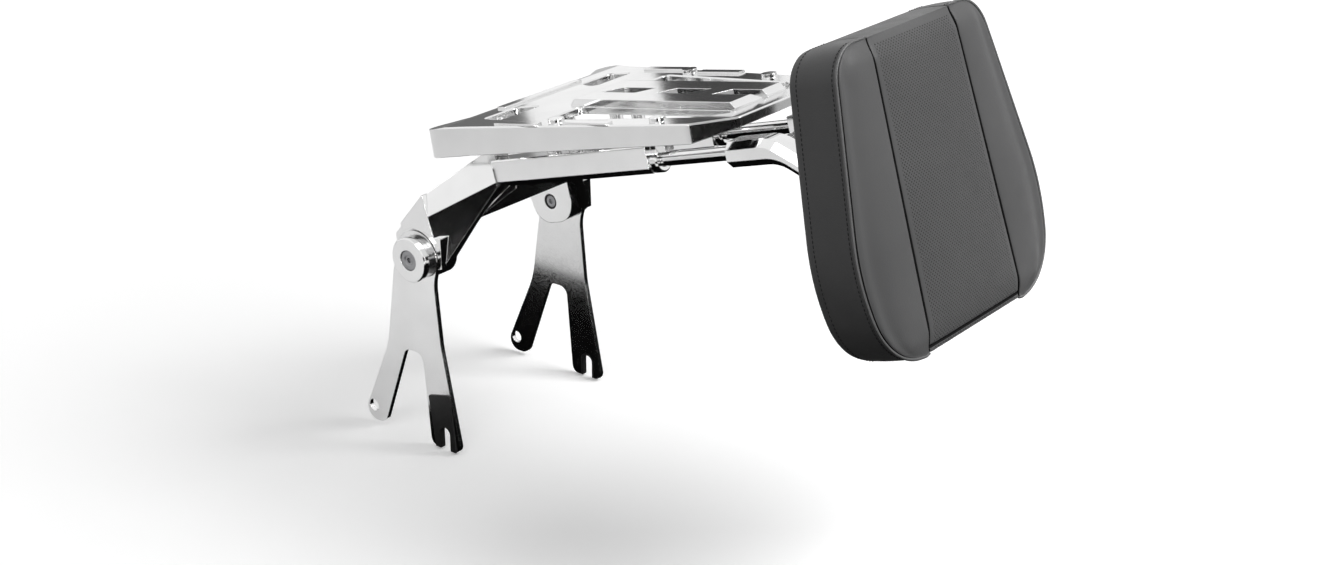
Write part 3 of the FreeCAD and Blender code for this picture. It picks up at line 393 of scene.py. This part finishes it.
def build_cover():
    """Closed cover: the face, the boxing down to the back, and the edge turned in behind it."""
    mesh = bmesh.new()
    grid = face_grid(mesh)
    rim = rim_order()
    loop = [grid[j][i] for j, i in rim]
    count = len(loop)
    flat = [Vector((v.co.y, v.co.z)) for v in loop]
    outward = []
    for k in range(count):
        along = flat[(k + 1) % count] - flat[k - 1]
        outward.append(Vector((along.y, -along.x)).normalized())
    if outward[0].y < 0:
        outward = [-n for n in outward]
    before = loop
    layers = [loop]
    for x, push in BOXING:
        layer = []
        for p, n in zip(flat, outward):
            layer.append(mesh.verts.new((x * MM, p.x + n.x * push * MM, p.y + n.y * push * MM)))
        for k in range(count):
            following = (k + 1) % count
            face = mesh.faces.new((before[k], before[following], layer[following], layer[k]))
            row_a, col_a = rim[k]
            row_b, col_b = rim[following]
            at_end = row_a == row_b and row_a in (0, ROWS)
            side_run = not at_end or not SEAMS[0] <= min(col_a, col_b) < SEAMS[1]
            # The first boxing ring under the welt and the seams carried over the ends also take the painted
            # crease shade
            if (before is loop and side_run) or (at_end and (col_a in SEAMS or col_b in SEAMS)):
                face.material_index = PAINTED_SHADE_LOOK
        layers.append(layer)
        before = layer
    mesh.faces.new(list(reversed(before)))
    mesh.normal_update()
    bmesh.ops.recalc_face_normals(mesh, faces=mesh.faces)
    mesh.verts.index_update()
    index = {
        "seams": [[grid[j][s].index for j in range(ROWS + 1)] for s in SEAMS],
        "grid": [[v.index for v in row] for row in grid],
        "layers": [[v.index for v in layer] for layer in layers],
        "rim": rim,
        "outward": outward,
    }
    data = bpy.data.meshes.new("pad_cover")
    mesh.to_mesh(data)
    mesh.free()
    for look in ("cover", "cover_perforated", "cover_painted_crease_shade"):
        data.materials.append(LOOKS[look])
    for face in data.polygons:
        face.use_smooth = True
    return data, index


def fill_cover(cover, index):
    """Fill the cover with foam: cloth under pressure, sewn down along the seams, the welt and the back."""
    held = cover.vertex_groups.new(name="sewn")
    sewn = set(sum(index["seams"], []))
    sewn.update(index["layers"][0])
    for layer in index["layers"][HELD_FROM:]:
        sewn.update(layer)
    held.add(sorted(sewn), 1.0, "REPLACE")
    start = [v.co.copy() for v in cover.data.vertices]
    cloth = cover.modifiers.new("fill", "CLOTH")
    cloth.settings.use_pressure = True
    cloth.settings.uniform_pressure_force = PRESSURE
    cloth.settings.effector_weights.gravity = 0.0
    cloth.settings.vertex_group_mass = "sewn"
    cloth.settings.bending_stiffness = STIFFNESS
    scene = bpy.context.scene
    for number in range(1, FILL_STEPS + 1):
        scene.frame_set(number)
    graph = bpy.context.evaluated_depsgraph_get()
    result = cover.evaluated_get(graph).data
    moved = [v.co.copy() for v in result.vertices]
    cover.modifiers.remove(cloth)
    scene.frame_set(1)
    for vertex, old, new in zip(cover.data.vertices, start, moved):
        step = new - old
        if step.length > 1e-9:
            vertex.co = old + step.normalized() * FILL_LIMIT * math.tanh(step.length / FILL_LIMIT)


def side_runs():
    """For each side of the pad, the rim from the top seam round to the bottom seam."""
    rim = index["rim"]
    right = [k for k, (_, i) in enumerate(rim) if i >= SEAMS[1]]
    left = [k for k, (_, i) in enumerate(rim) if i <= SEAMS[0]]
    top_left = [k for k in left if rim[k][0] == 0]
    rest = [k for k in left if rim[k][0] != 0]
    return [right, sorted(top_left, reverse=True) + sorted(rest, reverse=True)]


data, index = build_cover()
cover = bpy.data.objects.new("pad_cover", data)
bpy.context.collection.objects.link(cover)
fill_cover(cover, index)
cover.matrix_world = PAD_FRAME

# Sewn creases: the two panel seams, carried over the top and bottom, and the fold low on the panel
creases = set(sum(index["seams"], []))
for layer in index["layers"][1:HELD_FROM + 1]:
    for k, (j, i) in enumerate(index["rim"]):
        if i in SEAMS and j in (0, ROWS):
            creases.add(layer[k])
creases.update(index["grid"][FOLD][SEAMS[0]:SEAMS[1] + 1])
data.update()
normals = [v.normal.copy() for v in data.vertices]
for number in creases:
    data.vertices[number].co -= normals[number] * CREASE * MM

# Roll of foam inside the welt and the shallow valley behind it
for row in index["grid"]:
    for number, (_, kind, t) in zip(row, COLUMNS):
        if kind == "b" and t in ROLL:
            z = data.vertices[number].co.z / MM
            fade = smooth(min(TOP - z, z - LOW) / ROLL_FADE)
            data.vertices[number].co += normals[number] * ROLL[t] * MM * fade

# Rim pulled in under the welt
for run in side_runs():
    for k in run:
        number = index["layers"][0][k]
        data.vertices[number].co -= normals[number] * RIM_SINK * MM
data.update()
smoothing = cover.modifiers.new("rounding", "SUBSURF")
smoothing.levels = 1
smoothing.render_levels = 1
bpy.context.view_layer.update()
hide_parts("pad_cushion")
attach(cover, "pad")


# Welt and stitching on the finished cover

WELT_RADIUS = 1.7
WELT_FORWARD = 0.4
WELT_OUT = 2.0
WELT_STEP = 0.004
STITCH_PITCH = 0.0048
STITCH_LENGTH = 0.0036
STITCH_RADIUS = 0.00042
STITCH_ROWS = ((1, 2, 0.55), (6, 7, 0.35))

graph = bpy.context.evaluated_depsgraph_get()
finished = cover.evaluated_get(graph)
skin = BVHTree.FromPolygons([v.co.copy() for v in finished.data.vertices],
                            [tuple(p.vertices) for p in finished.data.polygons])


def ring(mesh, middle, across, other, radius, sides):
    angles = [2 * math.pi * s / sides for s in range(sides)]
    return [mesh.verts.new(middle + (across * math.cos(a) + other * math.sin(a)) * radius) for a in angles]


def close_rings(mesh, rings):
    """Skin along a row of rings, closed at both ends."""
    sides = len(rings[0])
    for a, b in zip(rings, rings[1:]):
        for s in range(sides):
            mesh.faces.new((a[s], a[(s + 1) % sides], b[(s + 1) % sides], b[s]))
    mesh.faces.new(list(reversed(rings[0])))
    mesh.faces.new(rings[-1])


def tube(mesh, path, radius):
    """Round cord along a path, narrowed at both ends."""
    rings = []
    last = len(path) - 1
    for k, point in enumerate(path):
        along = (path[min(k + 1, last)] - path[max(k - 1, 0)]).normalized()
        across = along.cross(Vector((1, 0, 0)))
        if across.length < 0.2:
            across = along.cross(Vector((0, 1, 0)))
        across.normalize()
        size = radius * (0.5 if k in (0, last) else 1.0)
        rings.append(ring(mesh, point, across, along.cross(across), size, 8))
    close_rings(mesh, rings)


def stitch(mesh, centre, along, normal):
    """One thread stitch: a low pill that dips into the cover at both ends."""
    side = normal.cross(along).normalized()
    rings = []
    for f, thick in ((-0.5, 0.35), (-0.3, 0.95), (0.0, 1.1), (0.3, 0.95), (0.5, 0.35)):
        lift = normal * STITCH_RADIUS * (0.55 - 2.6 * f * f)
        middle = centre + along * STITCH_LENGTH * f + lift
        rings.append(ring(mesh, middle, side, normal, STITCH_RADIUS * thick, 6))
    close_rings(mesh, rings)


def even(path, step):
    """Points at equal steps along a polyline."""
    points = [path[0]]
    left = step
    for a, b in zip(path, path[1:]):
        span = (b - a).length
        done = 0.0
        while span - done >= left:
            done += left
            points.append(a.lerp(b, done / span))
            left = step
        left -= span - done
    return points


def layer_path(layer, run):
    return [data.vertices[index["layers"][layer][k]].co.copy() for k in run]


def on_skin(point, outward):
    hit, normal, _, _ = skin.ray_cast(point + outward * 0.02, -outward, 0.04)
    if hit is None:
        hit, normal, _, _ = skin.find_nearest(point)
    return hit, normal


def add_piece(name, mesh, look):
    bmesh.ops.recalc_face_normals(mesh, faces=mesh.faces)
    shape = bpy.data.meshes.new(name)
    mesh.to_mesh(shape)
    mesh.free()
    shape.materials.append(LOOKS[look])
    for face in shape.polygons:
        face.use_smooth = True
    piece = bpy.data.objects.new(name, shape)
    bpy.context.collection.objects.link(piece)
    piece.matrix_world = PAD_FRAME
    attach(piece, "pad")


welt = bmesh.new()
for run in side_runs():
    path = []
    for point, k in zip(layer_path(0, run), run):
        outward = index["outward"][k]
        path.append(point + Vector((WELT_FORWARD, outward.x * WELT_OUT, outward.y * WELT_OUT)) * MM)
    path = even(path, WELT_STEP)
    tuck = Vector((WELT_STEP, 0, 0))
    tube(welt, [path[0] - tuck] + path + [path[-1] - tuck], WELT_RADIUS * MM)
add_piece("pad_welt", welt, "cover_welt")

thread = bmesh.new()
for run in side_runs():
    for near, far, share in STITCH_ROWS:
        path = [a.lerp(b, share) for a, b in zip(layer_path(near, run), layer_path(far, run))]
        path = even(path, STITCH_PITCH)
        for k in range(1, len(path) - 1):
            along = (path[k + 1] - path[k - 1]).normalized()
            outward = along.cross(Vector((1, 0, 0))).normalized()
            if outward.dot(Vector((0, path[k].y, path[k].z))) < 0:
                outward = -outward
            hit, normal = on_skin(path[k], outward)
            stitch(thread, hit, along, normal)
add_piece("pad_stitching", thread, "thread")


# Studio

WORLD_LIGHT = 0.30
CEILING = 0.5
FLOOR_BOUNCE = 0.10
FLOOR_LIFT_NEAR = 0.24
FLOOR_LIFT_FAR = 0.66
FLOOR_LIFT_GLOSSY = 0.18
CARD_BLACK = 0.004


def shown_rays(tree):
    """Light path, and a value that is 1 for camera, glossy and transmission rays."""
    path = node(tree, "ShaderNodeLightPath")
    seen = node(tree, "ShaderNodeMath", operation="MAXIMUM")
    tree.links.new(path.outputs["Is Camera Ray"], seen.inputs[0])
    tree.links.new(path.outputs["Is Glossy Ray"], seen.inputs[1])
    both = node(tree, "ShaderNodeMath", operation="MAXIMUM")
    tree.links.new(seen.outputs["Value"], both.inputs[0])
    tree.links.new(path.outputs["Is Transmission Ray"], both.inputs[1])
    return path, both.outputs["Value"]


def studio_world():
    """White surroundings that light the object plainly, with a darker ceiling straight above."""
    world = bpy.data.worlds.new("studio")
    bpy.context.scene.world = world
    world.use_nodes = True
    tree = world.node_tree
    light = tree.nodes["Background"]
    _, shown = shown_rays(tree)
    parts = node(tree, "ShaderNodeSeparateXYZ")
    tree.links.new(node(tree, "ShaderNodeTexCoord").outputs["Generated"], parts.inputs["Vector"])
    level = node(tree, "ShaderNodeMapRange")
    level.inputs["To Min"].default_value = WORLD_LIGHT
    tree.links.new(spread(tree, parts.outputs["Z"], 1.0, CEILING, 0.86, 1.0), level.inputs["To Max"])
    tree.links.new(shown, level.inputs["Value"])
    light.inputs["Color"].default_value = (1.0, 1.0, 1.0, 1.0)
    tree.links.new(level.outputs["Result"], light.inputs["Strength"])


def turned(place, facing):
    """Matrix at a place with its z axis along a direction."""
    return Matrix.Translation(place) @ Vector(facing).to_track_quat("Z", "Y").to_matrix().to_4x4()


def stage_plane(name, place, size, facing, material):
    mesh = bpy.data.meshes.new(name)
    w = size[0] / 2
    h = size[1] / 2
    mesh.from_pydata([(-w, -h, 0), (w, -h, 0), (w, h, 0), (-w, h, 0)], [], [(0, 1, 2, 3)])
    mesh.materials.append(material)
    plane = bpy.data.objects.new(name, mesh)
    bpy.context.collection.objects.link(plane)
    plane.matrix_world = turned(place, facing)
    return plane


def floor_material():
    """Pale floor, lifted to the white of the background away from the object, where it keeps the shadow."""
    material, tree, shader = new_material("floor")
    place = object_place(tree)
    path, shown = shown_rays(tree)
    mix = node(tree, "ShaderNodeMix", data_type="RGBA")
    tree.links.new(shown, mix.inputs["Factor"])
    mix.inputs["A"].default_value = (*grey(FLOOR_BOUNCE), 1.0)
    tree.links.new(tint(tree, noise(tree, place, 1.5), grey(0.93), grey(0.95)), mix.inputs["B"])
    tree.links.new(mix.outputs["Result"], shader.inputs["Base Color"])
    shader.inputs["Roughness"].default_value = 0.9
    shader.inputs["Specular IOR Level"].default_value = 0.1
    shader.inputs["Emission Color"].default_value = (1.0, 1.0, 1.0, 1.0)
    away = node(tree, "ShaderNodeVectorMath", operation="LENGTH")
    tree.links.new(place, away.inputs[0])
    rise = spread(tree, away.outputs["Value"], FLOOR_LIFT_NEAR, FLOOR_LIFT_FAR, 0.4, 2.2)
    lift = node(tree, "ShaderNodeMath", operation="MULTIPLY")
    tree.links.new(rise, lift.inputs[0])
    tree.links.new(path.outputs["Is Camera Ray"], lift.inputs[1])
    total = node(tree, "ShaderNodeMath", operation="MULTIPLY_ADD")
    total.inputs[1].default_value = FLOOR_LIFT_GLOSSY
    tree.links.new(path.outputs["Is Glossy Ray"], total.inputs[0])
    tree.links.new(lift.outputs["Value"], total.inputs[2])
    tree.links.new(total.outputs["Value"], shader.inputs["Emission Strength"])
    return material


def card_material(name, level):
    material, tree, shader = new_material(name)
    cloud = noise(tree, object_place(tree), 0.6)
    tree.links.new(tint(tree, cloud, grey(level * 0.8), grey(level * 1.2)), shader.inputs["Base Color"])
    shader.inputs["Roughness"].default_value = 1.0
    shader.inputs["Specular IOR Level"].default_value = 0.0
    return material


def flag(name, place, size, facing, level=CARD_BLACK):
    """Dark studio card that only the reflections see."""
    card = stage_plane(name, place, size, facing, card_material(name, level))
    card.visible_camera = False
    card.visible_diffuse = False
    card.visible_shadow = False


def lamp(name, place, target, size, power):
    light = bpy.data.lights.new(name, "AREA")
    light.shape = "RECTANGLE"
    light.size = size[0]
    light.size_y = size[1]
    light.energy = power
    holder = bpy.data.objects.new(name, light)
    bpy.context.collection.objects.link(holder)
    holder.matrix_world = turned(place, Vector(place) - Vector(target))
    return holder


bpy.context.scene.view_settings.view_transform = "Standard"
studio_world()
UP = (0, 0, 1)
low_point = cad_box[0][2]
card_height = low_point - 0.001
stage_plane("floor", (0.3, 0.0, low_point - 0.003), (60.0, 60.0), UP, floor_material())
flag("flag_front", (2.6, -2.1, 0.05), (2.6, 1.5), (-0.79, 0.61, 0.0))
flag("flag_under", (0.5, 0.49, card_height), (1.6, 1.22), UP)
flag("flag_low", (0.66, -0.31, card_height), (1.28, 0.38), UP)
flag("flag_far", (0.575, -0.64, card_height), (1.45, 0.28), UP)
BACK_CARDS = ((-1.15, 0.34, 0.30), (-0.62, 0.22, 0.10), (-0.2, 0.4, 0.42), (0.5, 0.3, 0.16))
for number, (across, wide, level) in enumerate(BACK_CARDS):
    spot = Vector((-1.9, 2.0, 0.55)) + Vector((0.73, 0.69, 0.0)) * across
    flag(f"flag_back_{number}", spot, (wide, 1.3), (0.69, -0.73, 0.0), level)
lamp("key", (2.2, 0.9, 2.4), (0.55, 0.0, 0.35), (1.6, 1.6), 80.0)
lamp("fill", (0.45, -0.95, 1.45), (0.65, -0.15, 0.5), (0.8, 0.8), 4.0)
edge_lamp = lamp("edge", (2.95, -1.30, 0.72), (0.75, -0.1, 0.45), (0.28, 1.5), 26.0)
edge_lamp.visible_diffuse = False

# Camera at the photograph's viewing angle
AZIMUTH = math.radians(38.6)
ELEVATION = math.radians(23.0)
DISTANCE = 2.3501
TARGET = Vector((0.3609, 0.0, 0.2183))
LEVEL = math.cos(ELEVATION)
BACK = Vector((math.sin(AZIMUTH) * LEVEL, -math.cos(AZIMUTH) * LEVEL, math.sin(ELEVATION)))
lens = bpy.data.cameras.new("camera")
lens.sensor_fit = "HORIZONTAL"
lens.sensor_width = 36.0
lens.lens = 54.49
lens.clip_end = 200.0
camera = bpy.data.objects.new("camera", lens)
bpy.context.collection.objects.link(camera)
camera.matrix_world = turned(TARGET + BACK * DISTANCE, BACK)
bpy.context.scene.camera = camera

bpy.context.view_layer.update()
